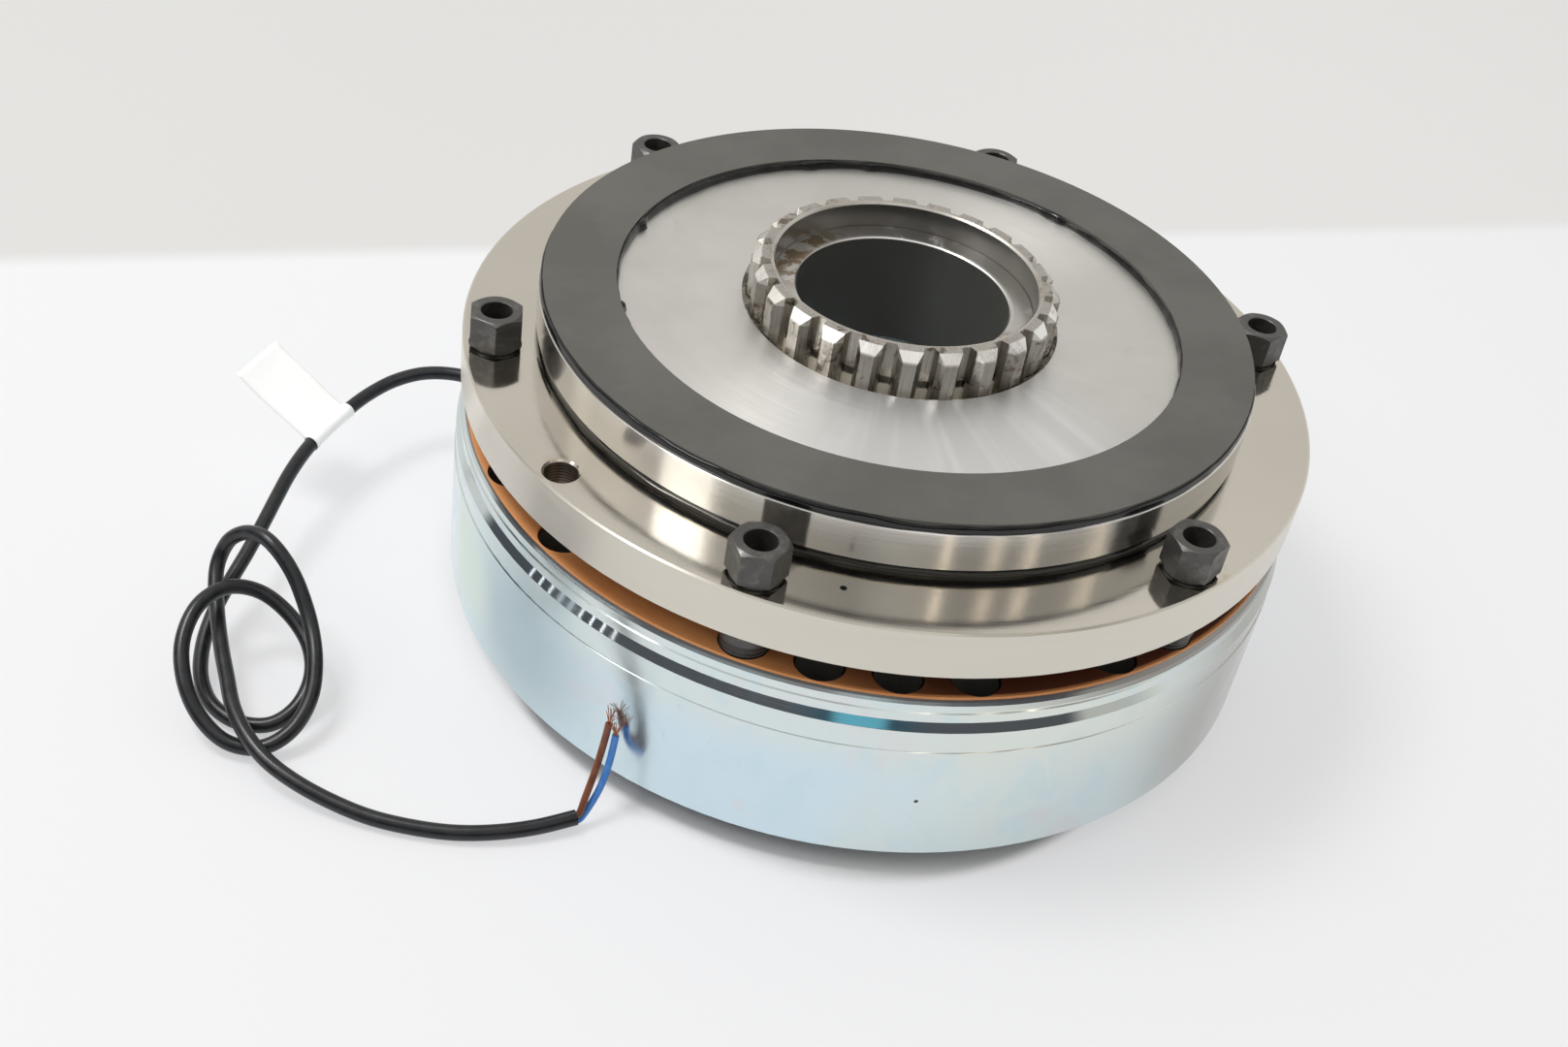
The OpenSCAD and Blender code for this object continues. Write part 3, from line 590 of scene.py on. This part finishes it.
brown_core, brown_fray = core("core_brown", BROWN, brown, 3)
blue_core, blue_fray = core("core_blue", BLUE, blue, 8)
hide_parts("brown_core")
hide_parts("blue_core")
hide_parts("brown_strands")
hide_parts("blue_strands")

# Paper flag: one strip folded round the cable, its halves stuck together (millimetres)
FLAG_W, FLAG_LEN, WRAP_R, PAPER_T = 24.0, 34.0, 3.0, 0.18
LEAF_GAP, WRAP_START = 0.12, 0.25
LEAF_STEPS, WRAP_STEPS, SLICES = 18, 28, 13
BOW, BOW_START, BOW_TURN = 1.4, 1.3, 2.2
RIPPLE, RIPPLE_RATE, RIPPLE_SHIFT = 0.5, 5, 0.2
FOLLOW = 3.0
flag_turn = turn_of(-32, 3.3, 236).to_matrix()
flag_at = Vector((-194.5, 53, 28.8))
leaf = np.linspace(0, 1, LEAF_STEPS)
wrap = np.linspace(WRAP_START, 2 * math.pi - WRAP_START, WRAP_STEPS)
profile = [(-WRAP_R - FLAG_LEN * (1 - t), LEAF_GAP) for t in leaf]
profile += [(-WRAP_R * math.cos(a), WRAP_R * math.sin(a)) for a in wrap]
profile += [(-WRAP_R - FLAG_LEN * t, -LEAF_GAP) for t in leaf]
strip = []
cable_mm = cable_line / MM
for i in range(SLICES):
    along = -FLAG_W / 2 + FLAG_W * i / (SLICES - 1)
    on_axis = flag_at + flag_turn @ Vector((along, 0, 0))
    nearest = cable_mm[np.argmin(np.linalg.norm(cable_mm - np.array(on_axis), axis=1))]
    shift = flag_turn.inverted() @ (Vector(nearest) - on_axis)
    for y, z in profile:
        # The leaves bow more towards their ends, and near the cable they follow it
        out = max(0.0, -y - WRAP_R) / FLAG_LEN
        hold = 1.0 - min(1.0, out * FOLLOW)
        bow = BOW * out * out * math.sin(BOW_START + BOW_TURN * i / SLICES)
        ripple = RIPPLE * math.sin(RIPPLE_RATE * out + RIPPLE_SHIFT * i) * out
        local = Vector((along, y + shift.y * hold, z + shift.z * hold + bow + ripple))
        strip.append((flag_at + flag_turn @ local) * MM)
n = len(profile)
faces = [(i * n + k, i * n + k + 1, (i + 1) * n + k + 1, (i + 1) * n + k)
         for i in range(SLICES - 1) for k in range(n - 1)]
flag = mesh_piece("paper_flag", strip, faces, paper, "magnet")
thick = flag.modifiers.new("thickness", "SOLIDIFY")
thick.thickness = PAPER_T * MM
thick.offset = 0.0
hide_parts("cable_label")

# Pressure springs, which the armature plate shortens as it moves in; here they are drawn at one length, from
# the pocket floors to the plate's underside (millimetres)
SPRINGS, TURNS, STEPS, SIDES = 6, 6, 28, 10
SPRING_CIRCLE_R, COIL_R, WIRE_R = 77.5, 6.0, 1.5
POCKET_FLOOR, PLATE_UNDERSIDE = 45.45, 85.95
CLOSED_TURNS, CLOSED_PITCH = 0.8, 0.85
low, high = POCKET_FLOOR + WIRE_R, PLATE_UNDERSIDE - WIRE_R
closed, part = CLOSED_TURNS / TURNS, CLOSED_PITCH * 2 * WIRE_R / (high - low)


def rise(u):
    """Share of the height at a share of the turns, with closed turns at both ends."""
    if u < closed:
        return part * u / closed
    if u > 1 - closed:
        return 1 - part * (1 - u) / closed
    return part + (1 - 2 * part) * (u - closed) / (1 - 2 * closed)


points, faces = [], []
count = TURNS * STEPS
for s in range(SPRINGS):
    turn = math.radians((s + 0.5) * 360 / SPRINGS)
    centre = Vector((SPRING_CIRCLE_R * math.cos(turn), SPRING_CIRCLE_R * math.sin(turn), 0))
    line = []
    for i in range(count + 1):
        a = 2 * math.pi * i / STEPS + turn
        up = low + (high - low) * rise(i / count)
        line.append((centre + Vector((COIL_R * math.cos(a), COIL_R * math.sin(a), up))) * MM)
    new_points, new_faces = tube_rows(line, WIRE_R * MM, SIDES)
    faces += [tuple(len(points) + k for k in f) for f in new_faces]
    points += new_points
springs = mesh_piece("springs", points, faces, spring_look, "magnet")
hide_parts("pressure_springs")
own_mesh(springs)

# Adhesive squeezed out along the lining edges: a bead of changing width with a few larger runs (millimetres)
BEAD_EDGES = ((123.985, 1), (98.985, -1))
BEAD_STEPS, BEAD_ARC = 900, 7
BEAD_WAVES, BEAD_RIPPLES = 9, 22
WIDTH_LEAST, WIDTH, WIDTH_WAVE, WIDTH_RIPPLE, OUTER_WIDTH_MOST = 0.3, 0.8, 0.4, 0.12, 1.0
TALL_LEAST, TALL, TALL_WAVE, TALL_RIPPLE, TALL_RUN, TALL_MOST = 1.2, 2.4, 1.0, 0.2, 0.6, 3.25
BULGE, EDGE_GAP, ARC_OUT, ARC_UP = 0.18, 0.02, 0.85, 0.92
ROOT_IN, ROOT_UP = 0.6, 0.2


def bead(name, node, face_z, up, runs):
    """A bead on both edges of a lining; a run is its edge, bearing, size and spread in degrees."""
    points, faces = [], []
    ring = BEAD_ARC + 1
    for edge, out in BEAD_EDGES:
        base = len(points)
        for i in range(BEAD_STEPS):
            a = 2 * math.pi * i / BEAD_STEPS
            here = Vector((math.cos(a), math.sin(a), 0.0))
            # Each edge of each bead has a place of its own in the noise
            wave = noise.noise(here * BEAD_WAVES + Vector((0, 0, 3.1 * out + 7 * up)))
            ripple = noise.noise(here * BEAD_RIPPLES + Vector((5, 0, 2.3 * out + 11 * up)))
            extra = sum(size * math.exp(-((math.degrees(a) - at + 180) % 360 - 180) ** 2 / (2 * spread ** 2))
                        for side, at, size, spread in runs if side == out)
            width = max(WIDTH_LEAST, WIDTH + WIDTH_WAVE * wave + WIDTH_RIPPLE * ripple) + extra
            width = min(width, OUTER_WIDTH_MOST) if out == 1 else width
            tall = max(TALL_LEAST, TALL + TALL_WAVE * wave + TALL_RIPPLE * ripple) + extra * TALL_RUN
            tall = min(TALL_MOST, tall)
            for k in range(BEAD_ARC):
                t = math.pi / 2 * k / (BEAD_ARC - 1)
                bulge = 1.0 + BULGE * math.sin(2 * t)
                r = edge + out * (EDGE_GAP + width * math.cos(t) * bulge * (ARC_OUT if k else 1.0))
                z = face_z + up * (tall * math.sin(t) * bulge * ARC_UP)
                points.append((here * r + Vector((0, 0, z))) * MM)
            points.append((here * (edge - out * ROOT_IN) + Vector((0, 0, face_z + up * ROOT_UP))) * MM)
        for i in range(BEAD_STEPS):
            this, after = base + i * ring, base + (i + 1) % BEAD_STEPS * ring
            for k in range(ring):
                m = (k + 1) % ring
                face = (this + k, after + k, after + m, this + m)
                faces.append(face if out * up == 1 else face[::-1])
    piece = mesh_piece(name, points, faces, adhesive, "rotor")
    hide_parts(node)


bead("glue_upper", "upper_glue_line", 121.5, 1,
     [(-1, 150, 1.8, 1.1), (-1, 183, 1.6, 0.7), (-1, 98, 1.2, 2.0), (-1, 84, 1.0, 1.2), (-1, 40, 0.9, 2.0),
      (-1, 130, 0.7, 30.0), (1, 215, 0.9, 25.0),
      (1, 165, 0.6, 2.0), (1, 250, 0.5, 3.0), (1, 300, 0.5, 3.0), (1, 332, 0.6, 2.0)])
bead("glue_lower", "lower_glue_line", 107.4, -1, [(1, 215, 0.5, 3.0), (1, 280, 0.4, 4.0)])

# Floor: paler in front of the line that crosses the photograph behind the object; far behind the camera
# it ends in the dark of the room, which only reflections and light see
FLOOR_HALF = 6.0
LINE_SLOPE, LINE_AT = -0.0957, (0.236, 0.252)
DARK_END = (-1.3, -0.9)
GLOW, GLOW_SHARE = 0.88, 0.62
STAND_AT, STAND_EDGE = (-0.014, -0.034, 0.0), (0.117, 0.123)
BEHIND_SPAN = (-0.2, 0.5)
floor_mesh = bpy.data.meshes.new("floor")
corners = [(sx * FLOOR_HALF, sy * FLOOR_HALF, 0) for sx, sy in ((-1, -1), (1, -1), (1, 1), (-1, 1))]
floor_mesh.from_pydata(corners, [], [(0, 1, 2, 3)])
floor = bpy.data.objects.new("floor", floor_mesh)
scene.collection.objects.link(floor)
ground = Look("floor")
x, y, _ = ground.axes()
behind = ground.mix(ground.ramp(x, *BEHIND_SPAN), (0.795, 0.79, 0.775), (0.855, 0.85, 0.835))
tone = ground.mix(ground.ramp(ground.plus(y, x, LINE_SLOPE), *LINE_AT), (0.945, 0.95, 0.965), behind)
rays = ground.add("ShaderNodeLightPath").outputs
dark = ground.times(ground.rest(rays["Is Camera Ray"]), ground.fall(y, *DARK_END))
tone = ground.mix(dark, tone, (0.05, 0.05, 0.05))
matte = ground.add("ShaderNodeBsdfDiffuse")
glow = ground.add("ShaderNodeEmission")
ground.join(tone, matte.inputs["Color"])
ground.join(tone, glow.inputs["Color"])
glow.inputs["Strength"].default_value = GLOW
# Part of its brightness is its own for what looks at it, but not where the object stands
seen = ground.most(rays["Is Camera Ray"], rays["Is Glossy Ray"], rays["Is Transmission Ray"])
away = ground.vector("DISTANCE", ground.place, STAND_AT)
surface = ground.add("ShaderNodeMixShader")
ground.join(ground.times(seen, ground.ramp(away, *STAND_EDGE, 0.0, GLOW_SHARE)), surface.inputs[0])
ground.join(matte.outputs[0], surface.inputs[1])
ground.join(glow.outputs[0], surface.inputs[2])
ground.join(surface.outputs[0], ground.tree.nodes["Material Output"].inputs["Surface"])
floor_mesh.materials.append(ground.material)

# Soft light: a pale room with lamps and a slatted blind, dark low down on the camera's side, and two soft
# boxes. The camera itself sees one plain pale tone. The room's edges are parts of a direction of length one
ROOM_STRENGTH = 0.9
BACK_WALL, CEILING = (-0.9, 0.7), (0.7, 0.84)
RIGHT_FROM, RIGHT_TOP = (0.5, 0.75), (0.42, 0.55)
DIM_FROM, DIM_LOW, DIM_TOP = (0.5, 0.65), (0.5, 0.58), (0.74, 0.82)
AHEAD, AHEAD_FROM, AHEAD_TOP = (0.2, -0.98, 0.0), (0.5, 0.68), (0.7, 0.78)
DARK, DARK_FROM, DARK_TOP = (-0.588, -0.809, 0.0), (0.09, 0.19), (0.455, 0.585)
LAMP, FAINT_LAMP = (3.0, 2.7, 2.3), (1.6, 1.45, 1.25)
LAMPS = ((-79, 1.0, LAMP), (-63, 2.0, FAINT_LAMP), (-51, 1.0, LAMP), (-27, 1.0, LAMP))
LAMP_LOW, LAMP_HIGH, LAMP_EDGE = (0.54, 0.57), (0.7, 0.73), (0.6, 1.4)
SLAT_RATE, SLAT_EDGE = 110.0, (0.7, 0.86)
SLATS_FROM, SLATS_TO = (-0.20, -0.18), (0.30, 0.32)
SLATS_LOW, SLATS_HIGH = (0.1, 0.14), (0.42, 0.48)
world = bpy.data.worlds.new("room")
scene.world = world
world.use_nodes = True
world.node_tree.nodes.clear()
room = Graph(world.node_tree, "Generated")
x, y, z = room.axes()


def towards(direction):
    return room.vector("DOT_PRODUCT", room.place, direction)


def patch_of_light(direction, outer, inner, colour):
    """Share and colour of a round patch of light in one direction."""
    return room.ramp(towards(Vector(direction).normalized().to_tuple()), outer, inner), colour


def lamp(degrees, half, colour):
    """Share and colour of an upright lamp at a bearing."""
    off = room.math("ABSOLUTE", room.math("SUBTRACT", room.math("ARCTAN2", y, x), math.radians(degrees)))
    stripe = room.fall(off, *(math.radians(half * share) for share in LAMP_EDGE))
    return room.times(stripe, room.within(z, LAMP_LOW, LAMP_HIGH)), colour


right = room.times(room.ramp(x, *RIGHT_FROM), room.fall(z, *RIGHT_TOP))
dim = room.times(room.ramp(x, *DIM_FROM), room.within(z, DIM_LOW, DIM_TOP), 0.6)
ahead = room.times(room.ramp(towards(AHEAD), *AHEAD_FROM), room.fall(z, *AHEAD_TOP), 0.45)
dark = room.times(room.ramp(towards(DARK), *DARK_FROM), room.fall(z, *DARK_TOP))
from_left = room.math("ARCTAN2", room.times(y, -1.0), room.times(x, -1.0))
slats = room.times(room.ramp(room.math("SINE", room.times(from_left, SLAT_RATE)), *SLAT_EDGE),
                   room.within(from_left, SLATS_FROM, SLATS_TO), room.within(z, SLATS_LOW, SLATS_HIGH))
camera_ray = room.add("ShaderNodeLightPath").outputs["Is Camera Ray"]
tone = room.mix(room.ramp(y, *BACK_WALL), (0.62, 0.615, 0.60), (0.82, 0.80, 0.77))
tone = room.layers(
    tone,
    (room.ramp(z, *CEILING, 0.0, 0.8), (0.82, 0.81, 0.79)),
    (right, (0.9, 0.9, 0.88)),
    (dim, (0.3, 0.29, 0.27)),
    (ahead, (0.25, 0.24, 0.23)),
    patch_of_light((-0.70, 0.31, 0.64), 0.955, 0.985, (1.3, 1.27, 1.2)),
    patch_of_light((0.06, -0.61, 0.79), 0.978, 0.992, (1.15, 1.13, 1.1)),
    *(lamp(*values) for values in LAMPS),
    (dark, (0.105, 0.108, 0.125)),
    patch_of_light((-0.119, -0.849, 0.515), 0.990, 0.997, (0.5, 0.55, 0.57)),
    (slats, (1.5, 1.52, 1.56)),
    (camera_ray, (0.85, 0.845, 0.83)))
back = room.add("ShaderNodeBackground")
room.join(tone, back.inputs["Color"])
back.inputs["Strength"].default_value = ROOM_STRENGTH
end = room.add("ShaderNodeOutputWorld")
room.join(back.outputs[0], end.inputs["Surface"])


def soft_box(name, place, aim, size, power):
    data = bpy.data.lights.new(name, "AREA")
    data.shape = "RECTANGLE"
    data.size, data.size_y = size
    data.energy = power
    light = bpy.data.objects.new(name, data)
    light.location = place
    light.rotation_euler = (Vector(aim) - Vector(place)).to_track_quat("-Z", "Y").to_euler()
    scene.collection.objects.link(light)


soft_box("box_above", (-0.85, 0.2, 1.75), (0, 0, 0.05), (0.6, 0.6), 17.0)
soft_box("box_left", (-1.63, -0.42, 1.65), (0, 0, 0.1), (0.6, 0.5), 3.5)
